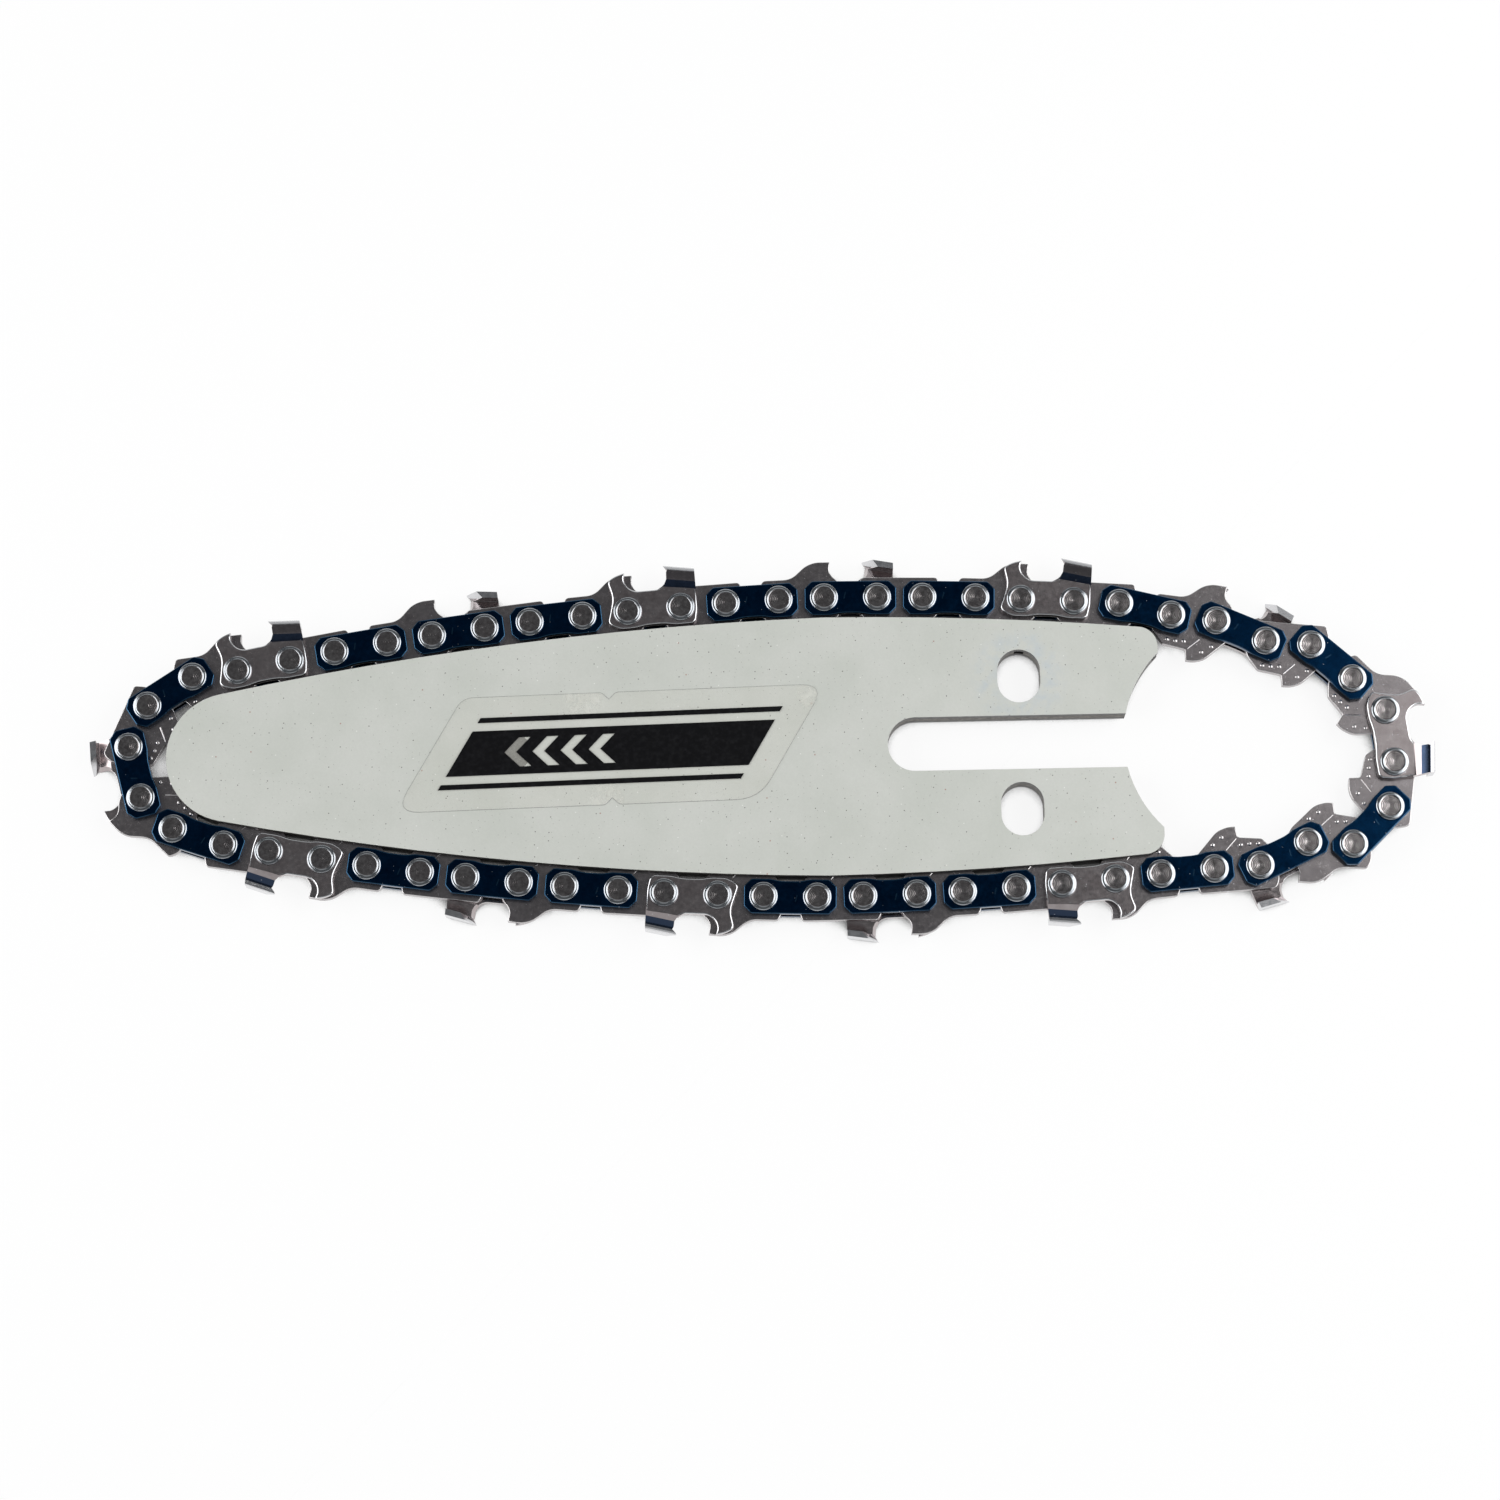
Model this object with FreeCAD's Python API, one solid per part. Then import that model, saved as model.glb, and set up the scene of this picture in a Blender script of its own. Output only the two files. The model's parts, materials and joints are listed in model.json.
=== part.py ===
import FreeCAD, Part
import math
import os

# Guide bar of a one-hand chainsaw with its saw chain fitted.
# Frame: origin midway between the two tensioner holes at mid thickness,
# X along the bar to its drive end, Y across the bar, Z off the labelled face.
# Rivets are numbered clockwise from the upper side of the nose. Side links lie
# between an odd rivet and the next even one, drive links between even and odd.

V = FreeCAD.Vector
UP = V(0, 0, 1)

# Chain
pair_count = 28                # pairs of side links, and as many drive links
top_pair_count = 11            # pairs from the nose to the free loop, on the upper run
loop_pair_count = 5            # pairs that swing in the free loop
pitch = 6.35                   # half of the distance over three rivets
side_span = 6.85               # rivet spacing of a side link
drive_span = 2 * pitch - side_span
drive_thickness = 1.10
side_thickness = 1.00
side_play = 0.03               # between a drive link and the side link beside it

# Rivets
hub_radius = 1.50
hub_clearance = 0.05
open_hinge_clearance = 0.18    # at the one hinge where the free loop is left open
head_radius = 1.87
head_height = 0.45
head_sides = 8
hub_sides = 6
hinge_sides = 10

# Bar: two side plates on a narrower core
plate_thickness = 1.00
groove_clearance = 0.15
groove_depth = 4.00
rail_radius = 450.0
nose_radius = 8.45
nose_crown_y = 17.05           # top of the flank arc that runs to the nose
tail_crown_x = -27.0           # top of the flank arc that runs to the drive end
tail_crown_y = 16.93
tail_x = 18.0                  # furthest point of the two tongues
tail_arc_radius = 16.1         # hollow of the drive end, round the sprocket
tail_arc_x = 29.3
tongue_corner = 2.6
slot_width = 7.0
slot_end_x = -17.05
hole_spacing = 17.4
hole_width = 5.5
hole_length = 6.95
weld_hole_x = -65.3            # round hole in the upper plate alone
weld_hole_radius = 2.5

# Seat of the chain on the bar
rail_standoff = 2.60           # rivet line outside the upper rail
hang_standoff = 2.76           # the same under the lower rail, off which the chain hangs
tail_lift = 0.32               # more of it where the free loop lifts the upper run
lift_start_x = -45.0
nose_slack = 2.24              # more of it at the tip of the nose
nose_lift = 0.55               # the slack leaves the chain a little high at the nose
seat_start_x = 13.25           # last rivet over the upper rail
seat_end_x = 17.35             # last rivet over the lower rail
loop_headings = (-12.4, -7.1, -22.6, -4.9, -40.6, -45.0, -82.0, -97.5,
                 -134.7, -183.1, -154.8, -176.6, -175.6)

# Side links, drawn about their middle with +Y away from the bar
strap_end = 2.50               # beyond the rivet
strap_top = 2.20
strap_foot = 2.28
strap_waist = 1.98
strap_waist_half = 2.60
strap_corner = 0.95

# Cutters
gauge_lean = 2.34              # depth gauge, ahead of the front rivet
gauge_toe = 2.62
gauge_neck = 1.72
gauge_top = 5.15
gauge_back = 0.17
gullet_floor = 2.57
gullet_radius = 1.85
cutter_rear = 5.60
cutter_waist = 1.55
tooth_top = 5.55
tooth_tip_x = 1.40
tooth_fall = 0.17              # drop of the top plate per length, toward the rear
tooth_root = 2.90              # where the plate starts to lean outward
tooth_corner_z = 2.45          # working corner, off the chain's mid plane
tooth_inner_z = -0.35
tooth_round = 0.35
tooth_plate = 0.80
filing_angle = 30.0

# Drive links
link_end = 2.42                # beyond the rivet
link_top = 2.88
link_corner = 0.50
hump_top = 4.95
tang_depth = 5.45
tang_heel = (-3.58, 3.65)      # points of the tang: along the link, below the rivet line
tang_hook = (-0.90, 3.95)
tang_notch = (-0.25, 4.30)
tang_tip = (-0.32, 0.67)
tang_belly = (2.08, 5.00)
tang_toe = (3.40, 3.60)

# Label
film_thickness = 0.08
film_front = -80.6
film_rear = -24.6
film_half = 7.4
film_slant = 0.62              # slope of its ends, length per height
film_corner = 2.4
film_notch = 0.9
film_turn = 1.2
film_y = 0.2
print_thickness = 0.04
print_margin = 4.0
band_half = 2.9
chevron_width = 1.5
chevron_pitch = 3.6
chevron_count = 4
rule_half = 0.33
rule_y = 4.3

core_half = (drive_thickness + groove_clearance) / 2
bar_half = core_half + plate_thickness
side_inner = drive_thickness / 2 + side_play
side_outer = side_inner + side_thickness
last_top_rivet = 2 * top_pair_count - 1
first_low_rivet = 2 * (top_pair_count + loop_pair_count) + 2
open_rivet = 2 * (top_pair_count + 3)


def round_points(x, y, radius, start, end, count):
    """Points along a round of an outline, its angles in degrees."""
    angles = [math.radians(start + (end - start) * i / count) for i in range(count + 1)]
    return [(x + radius * math.cos(a), y + radius * math.sin(a)) for a in angles]


def polygon_face(points):
    corners = [V(x, y, 0) for x, y in points]
    return Part.Face(Part.makePolygon(corners + [corners[0]]))


def arc(a, b, c):
    return Part.Arc(V(a[0], a[1], 0), V(b[0], b[1], 0), V(c[0], c[1], 0)).toShape()


def outline_face(steps):
    """Face bounded by straight edges, and by arcs given as ("arc", middle, end)."""
    edges = []
    here = steps[0]
    for step in steps[1:] + steps[:1]:
        if step[0] == "arc":
            edges.append(arc(here, step[1], step[2]))
            here = step[2]
        elif math.dist(here, step) > 1e-6:
            edges.append(Part.makeLine(V(here[0], here[1], 0), V(step[0], step[1], 0)))
            here = step
    return Part.Face(Part.Wire(edges))


def slab(face, z0, z1):
    low = face.copy()
    low.translate(V(0, 0, z0))
    return low.extrude(V(0, 0, z1 - z0))


def prism(sides, radius, z0, z1):
    ring = round_points(0, 0, radius, 0, 360, sides)[:-1]
    return slab(polygon_face(ring), z0, z1)


def flipped(shape):
    """The same piece on the other side of the chain's mid plane."""
    return shape.mirror(V(0, 0, 0), UP)


# Bar

def nose_crown_x(nose_x):
    """Top of the flank arc that meets the round nose in a smooth line."""
    return nose_x + math.sqrt((rail_radius - nose_radius) ** 2 - (rail_radius - nose_crown_y) ** 2)


def rail_y(x, nose_x, grow=0.0):
    """Half width at x of the bar, or of its outline moved outward by grow."""
    crowns = ((nose_crown_x(nose_x), nose_crown_y), (tail_crown_x, tail_crown_y))
    return min(cy - rail_radius + math.sqrt((rail_radius + grow) ** 2 - (x - cx) ** 2) for cx, cy in crowns)


def flank_meet_x(nose_x):
    """Where the two flank arcs cross, at the widest part of the bar."""
    crown_x = nose_crown_x(nose_x)
    shift = (tail_crown_y - nose_crown_y) * rail_radius / (crown_x - tail_crown_x)
    return (crown_x + tail_crown_x) / 2 + shift


def bar_face(nose_x, inset):
    """Outline drawn inward of the rails by inset, run on past the drive end."""
    radius = nose_radius - inset
    tilt = math.asin((nose_crown_x(nose_x) - nose_x) / (rail_radius - nose_radius))
    touch = (nose_x - radius * math.sin(tilt), radius * math.cos(tilt))
    end_x = tail_x + 2 * tongue_corner
    meet_x = flank_meet_x(nose_x)

    def on_rail(x, side=1):
        return (x, side * rail_y(x, nose_x, -inset))

    nose_mid = (touch[0] + meet_x) / 2
    tail_mid = (end_x + meet_x) / 2
    return outline_face([
        touch,
        ("arc", on_rail(nose_mid), on_rail(meet_x)),
        ("arc", on_rail(tail_mid), on_rail(end_x)),
        on_rail(end_x, -1),
        ("arc", on_rail(tail_mid, -1), on_rail(meet_x, -1)),
        ("arc", on_rail(nose_mid, -1), (touch[0], -touch[1])),
        ("arc", (nose_x - radius, 0), touch),
    ])


def tongue_waste(nose_x):
    """What the round outer corner of the upper tongue leaves away."""
    r = tongue_corner
    cx = tail_x - r
    cy = rail_y(cx, nose_x) - r
    slope = math.asin((cx - tail_crown_x) / rail_radius)
    start = (cx + r * math.sin(slope), cy + r * math.cos(slope))
    middle = (cx + r * math.cos(math.pi / 4), cy + r * math.sin(math.pi / 4))
    return outline_face([
        (cx + r, cy),
        (cx + 4 * r, cy),
        (cx + 4 * r, cy + 3 * r),
        (start[0], cy + 3 * r),
        start,
        ("arc", middle, (cx + r, cy)),
    ])


def slot_face():
    half = slot_width / 2
    return outline_face([
        (slot_end_x + half, half),
        (tail_x, half),
        (tail_x, -half),
        (slot_end_x + half, -half),
        ("arc", (slot_end_x, 0), (slot_end_x + half, half)),
    ])


def oval_face(y):
    r = hole_width / 2
    straight = (hole_length - hole_width) / 2
    return outline_face([
        (r, y - straight),
        (r, y + straight),
        ("arc", (0, y + straight + r), (-r, y + straight)),
        (-r, y - straight),
        ("arc", (0, y - straight - r), (r, y - straight)),
    ])


def bar_layer(nose_x, inset, z0, z1):
    beyond = polygon_face([(tail_x, -2 * tail_x), (3 * tail_x, -2 * tail_x),
                           (3 * tail_x, 2 * tail_x), (tail_x, 2 * tail_x)])
    corner = tongue_waste(nose_x)
    waste = [beyond, slot_face(), corner, corner.mirror(V(0, 0, 0), V(0, 1, 0))]
    waste += [oval_face(side * hole_spacing / 2) for side in (1, -1)]
    layer = slab(bar_face(nose_x, inset), z0, z1)
    for face in waste:
        layer = layer.cut(slab(face, z0, z1))
    sprocket_room = Part.makeCylinder(tail_arc_radius, z1 - z0, V(tail_arc_x, 0, z0))
    return layer.cut(sprocket_room).removeSplitter()


# Label

def slanted_face(half_length, half, corner):
    lean = film_slant * half
    corners = [(lean - half_length, half), (half_length + lean, half),
               (half_length - lean, -half), (-half_length - lean, -half)]
    points = []
    for i, (x, y) in enumerate(corners):
        sides = []
        for other in (corners[i - 1], corners[(i + 1) % 4]):
            share = corner / math.dist((x, y), other)
            sides.append((x + (other[0] - x) * share, y + (other[1] - y) * share))
        before, after = sides
        bulge = ((before[0] + after[0] + 2 * x) / 4, (before[1] + after[1] + 2 * y) / 4)
        points += [before, bulge, after]
    return polygon_face(points)


def on_label(shape, z):
    laid = shape.copy()
    laid.rotate(V(0, 0, 0), UP, film_turn)
    laid.translate(V((film_front + film_rear) / 2, film_y, z))
    return laid


def film_half_length():
    return (film_rear - film_front) / 2 - film_slant * film_half


def label_film():
    """Clear film in two lobes, with a small notch between them at both edges."""
    film = slab(slanted_face(film_half_length(), film_half, film_corner), 0, film_thickness)
    for side in (1, -1):
        notch = polygon_face([(-film_notch, side * (film_half + film_notch)),
                              (film_notch, side * (film_half + film_notch)),
                              (0, side * (film_half - film_notch))])
        film = film.cut(slab(notch, 0, film_thickness))
    return on_label(film, bar_half)


def label_print():
    """A slanted band with open chevrons in it, and a thin rule above and below."""
    reach = film_half_length() - print_margin

    def strip(y, half):
        low, high = film_slant * (y - half), film_slant * (y + half)
        return polygon_face([(high - reach, y + half), (reach + high, y + half),
                             (reach + low, y - half), (low - reach, y - half)])

    band = slab(strip(0, band_half), 0, print_thickness)
    arm = band_half * 0.66
    for i in range(chevron_count):
        x = -reach + 2 * band_half + chevron_pitch * i
        chevron = polygon_face([(x, 0), (x + arm, arm), (x + arm + chevron_width, arm), (x + chevron_width, 0),
                                (x + arm + chevron_width, -arm), (x + arm, -arm)])
        band = band.cut(slab(chevron, 0, print_thickness))
    rules = [slab(strip(side * rule_y, rule_half), 0, print_thickness) for side in (1, -1)]
    return [on_label(piece, bar_half + film_thickness) for piece in [band] + rules]


# Route of the chain

def span_after(rivet):
    return side_span if rivet % 2 else drive_span


def upper_standoff(x):
    rise = max(0.0, (x - lift_start_x) / (seat_start_x - lift_start_x))
    return rail_standoff + tail_lift * rise ** 2


def seat_path(nose_x):
    """Rivet line from past the upper tongue, round the nose, to past the lower one."""
    step = pitch / 25
    beyond_x = tail_x + 2 * pitch
    count = int((beyond_x - nose_x) / step)
    xs = [beyond_x - step * i for i in range(count)]
    top = [(x, rail_y(x, nose_x, upper_standoff(x))) for x in xs]
    bottom = [(x, -rail_y(x, nose_x, hang_standoff)) for x in xs]
    reach = nose_radius + rail_standoff + nose_slack
    nose = []
    for x, y in round_points(0, 0, 1, 90, 270, 80):
        side = top[-1][1] if y > 0 else -bottom[-1][1]
        nose.append((nose_x + reach * x, side * y - nose_lift * x))
    return top + nose + bottom[::-1]


def walk(path, start_x, spans):
    """Points on the path, each at its span from the one before, from the upper run at start_x."""
    index = 0
    while path[index + 1][0] > start_x:
        index += 1
    share = (path[index][0] - start_x) / (path[index][0] - path[index + 1][0])
    here = (start_x, path[index][1] + share * (path[index + 1][1] - path[index][1]))
    points = [here]
    for span in spans:
        while math.dist(path[index + 1], here) < span:
            index += 1
        a, b = path[index], path[index + 1]
        low, high = 0.0, 1.0
        for _ in range(30):
            share = (low + high) / 2
            point = (a[0] + (b[0] - a[0]) * share, a[1] + (b[1] - a[1]) * share)
            if math.dist(point, here) < span:
                low = share
            else:
                high = share
        here = point
        points.append(here)
    return points


def seat_chain():
    """The nose centre of the bar that this chain fits, and the rivets over its rails."""
    count = 2 * pair_count - first_low_rivet + last_top_rivet
    spans = [span_after(last_top_rivet - 1 - i) for i in range(count)]
    round_length = math.pi * (nose_radius + rail_standoff + nose_slack)
    nose_x = (seat_start_x + seat_end_x + round_length - sum(spans)) / 2
    for _ in range(12):
        points = walk(seat_path(nose_x), seat_start_x, spans)
        nose_x -= (points[-1][0] - seat_end_x) / 2
    rivets = {(last_top_rivet - 1 - i) % (2 * pair_count) + 1: point for i, point in enumerate(points)}
    return nose_x, rivets


def loop_rivets(start, end):
    """The free loop, its headings eased by a turn and a curl until it closes."""
    count = len(loop_headings)
    nudge = 0.01

    def run(turn, curl):
        x, y = start
        points = []
        for i, heading in enumerate(loop_headings):
            angle = math.radians(heading + turn + curl * (i - (count - 1) / 2))
            x += span_after(last_top_rivet + i) * math.cos(angle)
            y += span_after(last_top_rivet + i) * math.sin(angle)
            points.append((x, y))
        return points

    turn, curl = 0.0, 0.0
    for _ in range(20):
        x, y = run(turn, curl)[-1]
        turned = run(turn + nudge, curl)[-1]
        curled = run(turn, curl + nudge)[-1]
        a, b = (turned[0] - x) / nudge, (curled[0] - x) / nudge
        c, d = (turned[1] - y) / nudge, (curled[1] - y) / nudge
        miss_x, miss_y = end[0] - x, end[1] - y
        turn += (miss_x * d - miss_y * b) / (a * d - b * c)
        curl += (miss_y * a - miss_x * c) / (a * d - b * c)
    points = run(turn, curl)
    return {last_top_rivet + 1 + i: points[i] for i in range(count - 1)}


def between(shape, a, b):
    """A link drawn about its middle, laid between two rivets with +Y away from the bar."""
    laid = shape.copy()
    laid.rotate(V(0, 0, 0), UP, math.degrees(math.atan2(b[1] - a[1], b[0] - a[0])))
    laid.translate(V((a[0] + b[0]) / 2, (a[1] + b[1]) / 2, 0))
    return laid


# Links

def waist(depth):
    """Hollow between the two feet, along the edge that faces the bar."""
    half = strap_waist_half
    return [(half, -strap_foot), (0.45 * half, -depth), (-0.45 * half, -depth), (-half, -strap_foot)]


def strap_face():
    end = side_span / 2 + strap_end
    c = strap_corner
    return polygon_face([
        (c - end, strap_top),
        (end - c, strap_top),
        (end, strap_top - c),
        (end, c - strap_foot),
        (end - c, -strap_foot),
    ] + waist(strap_waist) + [
        (c - end, -strap_foot),
        (-end, c - strap_foot),
        (-end, strap_top - c),
    ])


def at_rivets(shape, span):
    return [shape.translated(V(side * span / 2, 0, 0)) for side in (-1, 1)]


def rivet_heads():
    return at_rivets(prism(head_sides, head_radius, side_outer, side_outer + head_height), side_span)


def tie_strap():
    return slab(strap_face(), side_inner, side_outer).fuse(rivet_heads())


def preset_strap(sides):
    """A tie strap that also carries the rivets' shanks, which the drive links turn on."""
    shanks = at_rivets(prism(sides, hub_radius, -side_inner, side_inner), side_span)
    return tie_strap().fuse(shanks)


def cutter_plate_face():
    front = side_span / 2
    back = -front - gauge_back
    root = tooth_root + 0.15
    return polygon_face([
        (-front - gauge_toe + 0.42, -1.75),
        (-front - gauge_toe, -1.20),
        (-front - gauge_neck, 1.95),
        (-front - gauge_lean, gauge_top - 0.95),
        (-front - gauge_lean / 2, gauge_top - 0.28),
        (back + 0.15, gauge_top),
    ] + round_points(back + gullet_radius, gullet_floor + gullet_radius, gullet_radius, 180, 270, 3) + [
        (tooth_tip_x - 1.15, gullet_floor),
        (tooth_tip_x, root),
        (cutter_rear, root - tooth_fall * (cutter_rear - tooth_tip_x)),
        (cutter_rear, -0.40),
        (cutter_rear - 0.30, -1.90),
        (cutter_rear - 0.75, -strap_foot),
    ] + waist(cutter_waist) + [
        (-front - 1.00, -strap_foot),
    ])


def cutter_tooth():
    """The plate leans out to the working corner and folds back over the chain as the top plate."""
    shoulder = tooth_top - 0.9
    section = [
        (side_inner, tooth_root - 0.9),
        (side_outer, tooth_root - 0.9),
        (side_outer, tooth_root),
        (tooth_corner_z, shoulder),
        (tooth_corner_z - tooth_round, tooth_top),
        (tooth_inner_z, tooth_top),
        (tooth_inner_z, tooth_top - tooth_plate),
        (tooth_corner_z - tooth_plate - tooth_round, tooth_top - tooth_plate),
        (side_inner, tooth_root + 0.1),
    ]
    front_x = tooth_tip_x - 0.8
    length = cutter_rear - front_x
    lift = tooth_fall * (tooth_tip_x - front_x)
    corners = [V(front_x, y + lift, z) for z, y in section]
    tooth = Part.Face(Part.makePolygon(corners + [corners[0]])).extrude(V(length, -tooth_fall * length, 0))
    file_y = gullet_floor + gullet_radius - 0.1
    file_x = tooth_tip_x - math.sqrt(gullet_radius ** 2 - (tooth_top - file_y) ** 2)
    reach = 3 * (tooth_corner_z - tooth_inner_z)
    file = prism(16, gullet_radius, -reach, reach / 2)
    room = Part.makeBox(reach, 2 * reach, 1.5 * reach, V(-reach, -reach, -reach))
    for tool in (file, room):
        tool.rotate(V(0, 0, 0), V(0, 1, 0), -filing_angle)
        tool.translate(V(file_x, file_y, tooth_corner_z))
        tooth = tooth.cut(tool)
    return tooth


def cutter():
    plate = slab(cutter_plate_face(), side_inner, side_outer)
    return plate.fuse([cutter_tooth()] + rivet_heads()).removeSplitter()


def drive_link_face(humped):
    front = drive_span / 2
    end = front + link_end
    if humped:
        upper = [
            (front + 1.75, 2.50),
            (front + 1.15, 3.05),
            (front + 0.84, 3.75),
            (front + 0.98, hump_top),
            (front - 0.90, hump_top + 0.07),
            (front - 2.15, hump_top - 0.35),
            (-1.20, link_top),
        ]
    else:
        upper = [(end - link_corner, link_top)]
    return polygon_face([
        (-end, -1.70),
        (tang_heel[0], -tang_heel[1]),
        (tang_hook[0], -tang_hook[1]),
        (tang_notch[0], -tang_notch[1]),
        (tang_tip[0], -tang_depth),
        (tang_tip[1], -tang_depth),
        (tang_belly[0], -tang_belly[1]),
        (tang_toe[0], -tang_toe[1]),
        (end, -1.60),
        (end, 1.40),
    ] + upper + [
        (link_corner - end, link_top),
        (-end, 1.90),
    ])


def drive_link(humped, bores):
    """A drive link, its two bores given as a number of sides and the clearance on the shank."""
    link = slab(drive_link_face(humped), -drive_thickness / 2, drive_thickness / 2)
    for side, (sides, clearance) in zip((-1, 1), bores):
        radius = (hub_radius + clearance) / math.cos(math.pi / sides)
        bore = prism(sides, radius, -drive_thickness, drive_thickness)
        link = link.cut(bore.translated(V(side * drive_span / 2, 0, 0)))
    return link


def is_cutter(pair):
    return pair % 2 == 0


def cutter_is_upper(pair):
    return pair % 4 == 2


def in_loop(rivet):
    return last_top_rivet < rivet < first_low_rivet


def write(name, shapes):
    shape = shapes[0] if len(shapes) == 1 else Part.makeCompound(shapes)
    if not shape.isValid():
        raise ValueError(name + " is not a valid solid")
    shape.exportStep("parts/" + name + ".step")


def write_bar(nose_x):
    upper = bar_layer(nose_x, 0.0, core_half, bar_half)
    weld_hole = Part.makeCylinder(weld_hole_radius, plate_thickness, V(weld_hole_x, 0, core_half))
    write("bar_side_plate_upper", [upper.cut(weld_hole)])
    write("bar_core_plate", [bar_layer(nose_x, groove_depth, -core_half, core_half)])
    write("bar_side_plate_lower", [bar_layer(nose_x, 0.0, -bar_half, -core_half)])
    write("label_film", [label_film()])
    write("label_print", label_print())


def write_side_links(rivets):
    strap = tie_strap()
    blade = cutter()
    groups = {}
    for pair in range(1, pair_count + 1):
        a, b = rivets[2 * pair - 1], rivets[2 * pair]
        hinged = in_loop(2 * pair - 1) or in_loop(2 * pair)
        preset = preset_strap(hinge_sides if hinged else hub_sides)
        sides = {"upper": strap, "lower": flipped(preset)}
        blade_side = None
        if is_cutter(pair) and cutter_is_upper(pair):
            blade_side = "upper"
            sides["upper"] = blade
        elif is_cutter(pair):
            blade_side = "lower"
            sides = {"upper": preset, "lower": flipped(blade)}
        swings = in_loop(2 * pair - 1) and in_loop(2 * pair)
        run = "top_run" if a[1] + b[1] > 0 else "bottom_run"
        for side, shape in sides.items():
            laid = between(shape, a, b)
            if side == blade_side:
                write("cutter_%s_%02d" % (side, pair), [laid])
            elif swings:
                write("tie_strap_%s_%02d" % (side, pair), [laid])
            else:
                groups.setdefault("tie_straps_%s_%s" % (side, run), []).append(laid)
    for name, shapes in groups.items():
        write(name, shapes)


def write_drive_links(rivets):
    for link in range(1, pair_count + 1):
        ends = (2 * link, 2 * link % (2 * pair_count) + 1)
        bores = []
        for rivet in ends:
            clearance = open_hinge_clearance if rivet == open_rivet else hub_clearance
            bores.append((hinge_sides if in_loop(rivet) else hub_sides, clearance))
        humped = is_cutter(link % pair_count + 1)
        write("drive_link_%02d" % link, [between(drive_link(humped, bores), rivets[ends[0]], rivets[ends[1]])])


os.makedirs("parts", exist_ok=True)
nose_centre, rivet_points = seat_chain()
rivet_points.update(loop_rivets(rivet_points[last_top_rivet], rivet_points[first_low_rivet]))
write_bar(nose_centre)
write_side_links(rivet_points)
write_drive_links(rivet_points)
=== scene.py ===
# %% [markdown]
# # A chainsaw's guide bar with its saw chain
#
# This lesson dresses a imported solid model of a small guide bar. The solids say where everything is;
# Blender adds the shapes of stamped and riveted steel, the paint, the blueing and the studio light.
# Lengths are written in millimetres, as a maker would, and turned into metres when a piece is finished.

# %% Tools and the frame
import bmesh
import bpy
import json
import math
from mathutils import Matrix, Vector


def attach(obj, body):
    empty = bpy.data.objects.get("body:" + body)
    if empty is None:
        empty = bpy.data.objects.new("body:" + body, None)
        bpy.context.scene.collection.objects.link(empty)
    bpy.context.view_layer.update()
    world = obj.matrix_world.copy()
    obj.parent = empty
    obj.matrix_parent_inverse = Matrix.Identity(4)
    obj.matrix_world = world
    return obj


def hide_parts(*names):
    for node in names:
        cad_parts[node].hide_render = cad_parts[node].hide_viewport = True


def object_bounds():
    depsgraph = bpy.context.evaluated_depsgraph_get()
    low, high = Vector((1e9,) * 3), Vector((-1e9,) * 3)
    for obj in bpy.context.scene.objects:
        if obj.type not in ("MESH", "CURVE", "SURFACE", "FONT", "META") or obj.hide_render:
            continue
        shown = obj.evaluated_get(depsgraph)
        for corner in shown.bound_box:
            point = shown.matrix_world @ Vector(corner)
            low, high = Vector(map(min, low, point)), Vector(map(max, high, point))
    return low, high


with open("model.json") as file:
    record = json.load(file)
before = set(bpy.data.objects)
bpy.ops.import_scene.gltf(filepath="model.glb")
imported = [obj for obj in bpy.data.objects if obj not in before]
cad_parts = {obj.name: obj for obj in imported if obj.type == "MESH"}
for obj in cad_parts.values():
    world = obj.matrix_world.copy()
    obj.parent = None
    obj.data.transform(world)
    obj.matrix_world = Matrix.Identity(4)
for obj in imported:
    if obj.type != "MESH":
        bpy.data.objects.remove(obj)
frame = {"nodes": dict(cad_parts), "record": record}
cad_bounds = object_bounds()
MM = 0.001
node_body = {node: body for body, nodes in frame["record"]["behaviour"]["bodies"].items() for node in nodes}
print("solids in the frame:", len(frame["nodes"]))

# %% [markdown]
# ## Camera
#
# The picture looks almost straight down on the bar from the side of its lower run, twelve degrees off the
# vertical, through a fairly long lens. The camera's three axes are written out as a matrix, because that
# says exactly how the picture is turned; an object tilted by hand would be harder to read back.

# %% Camera
TILT = math.radians(12.0)
TURN = math.radians(1.106)
MM_PER_PIXEL = 0.1282
PICTURE = 1500
DISTANCE = 0.60
SENSOR_MM = 36.0
FARTHEST_SEEN = 20
AIM = Vector((-34.73, -0.36, 1.6)) * MM

across = Vector((1, 0, 0))
upward = Vector((0, math.cos(TILT), math.sin(TILT)))
right = across * math.cos(TURN) - upward * math.sin(TURN)
up = across * math.sin(TURN) + upward * math.cos(TURN)
back = right.cross(up)
camera = bpy.data.objects.new("camera", bpy.data.cameras.new("camera"))
bpy.context.collection.objects.link(camera)
camera.data.sensor_width = SENSOR_MM
camera.data.lens = camera.data.sensor_width * DISTANCE / (PICTURE * MM_PER_PIXEL * MM)
camera.data.clip_end = FARTHEST_SEEN
camera_axes = Matrix((right, up, back)).transposed().to_4x4()
camera.matrix_world = Matrix.Translation(AIM + back * DISTANCE) @ camera_axes
bpy.context.scene.camera = camera
bpy.context.scene.view_settings.view_transform = "Standard"
print("lens in mm:", round(camera.data.lens))

# %% [markdown]
# ## Light
#
# Bare metal shows what is around it. Two strong soft boxes stand left and right, two weak ones beyond and
# before the bar, and a high one on the right lights the free loop. Level faces mirror the dim room overhead
# and stay dark; rounded edges catch the boxes left and right and draw bright lines. Few large lamps were
# chosen over many small ones because small ones leave dots on the rivets.

# %% Light
ROOM_COLOUR = (0.92, 0.96, 1.0, 1)
ROOM_GLOW = 0.12


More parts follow.
